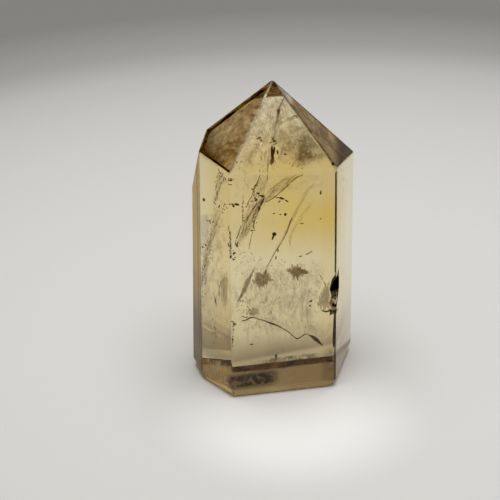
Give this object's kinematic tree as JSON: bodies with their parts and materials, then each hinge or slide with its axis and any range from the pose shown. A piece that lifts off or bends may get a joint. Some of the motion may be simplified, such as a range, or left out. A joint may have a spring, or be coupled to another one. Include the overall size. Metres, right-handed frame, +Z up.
{
  "type": "citrine crystal point",
  "caption": "Free-standing polished citrine quartz point: an upright faceted prism with a sloping tip and a flat ground foot to stand on.",
  "frame": {"origin": "bottom centre of the crystal's bounding box, on the flat foot", "axes": "+Z up along the crystal's length to its tip, -Y out of the widest upright face"},
  "size_m": [0.038, 0.0255, 0.0709],
  "materials": {
    "citrine": "polished, clear pale smoky yellow quartz with inner veils"
  },
  "bodies": {
    "root": {"crystal_point": "citrine"}
  },
  "joints": []
}
